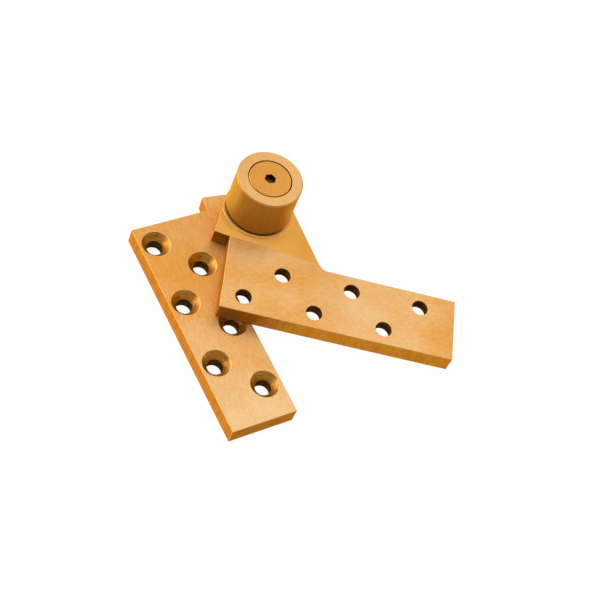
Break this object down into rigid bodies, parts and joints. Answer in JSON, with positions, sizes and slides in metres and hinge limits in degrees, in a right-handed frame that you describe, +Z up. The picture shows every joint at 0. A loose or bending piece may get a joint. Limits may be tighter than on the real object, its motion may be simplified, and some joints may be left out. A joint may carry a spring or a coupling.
{
  "type": "pivot hinge",
  "caption": "Offset door pivot hinge: two flat leaves in stacked planes turn on a pin, which a captive screw in the barrel raises and lowers.",
  "frame": {"origin": "underside of the door leaf, at the centre of its six-screw pattern", "axes": "+X along the door leaf, away from the pivot end; +Y across it, towards the pivot; +Z up the pivot, towards the barrel"},
  "size_m": [0.1197, 0.1251, 0.0409],
  "materials": {
    "leaf_bronze": "satin, brushed along the leaf",
    "turned_bronze": "satin, lathe turned",
    "screw_bronze": "satin, faced smooth",
    "bearing_bronze": "oiled, fine sintered grain",
    "pin_steel": "ground",
    "spring_steel": "dark phosphate"
  },
  "bodies": {
    "door_side": {"door_leaf": "leaf_bronze", "door_bushing": "bearing_bronze", "thrust_washer": "bearing_bronze"},
    "frame_side": {"frame_leaf": "leaf_bronze", "barrel": "turned_bronze", "guide_bushing": "bearing_bronze", "key_pin": "pin_steel"},
    "pin": {"pivot_pin": "pin_steel"},
    "screw": {"adjusting_screw": "screw_bronze", "retaining_clip": "spring_steel"}
  },
  "joints": [
    {"name": "pivot", "type": "hinge", "parent": "door_side", "child": "frame_side", "pos_m": [-0.03977, 0.04197, 0], "axis": [0, 0, 1], "continuous": true},
    {"name": "screw_turn", "type": "hinge", "parent": "frame_side", "child": "screw", "pos_m": [-0.03977, 0.04197, 0], "axis": [0, 0, -1], "range_deg": [0, 2764]},
    {"name": "pin_lift", "type": "slide", "parent": "frame_side", "child": "pin", "axis": [0, 0, 1], "range_m": [0, 0.0096]}
  ],
  "couplings": [
    {"joint": "pin_lift", "follows": "screw_turn", "m_per_rad": 0.00019894}
  ]
}
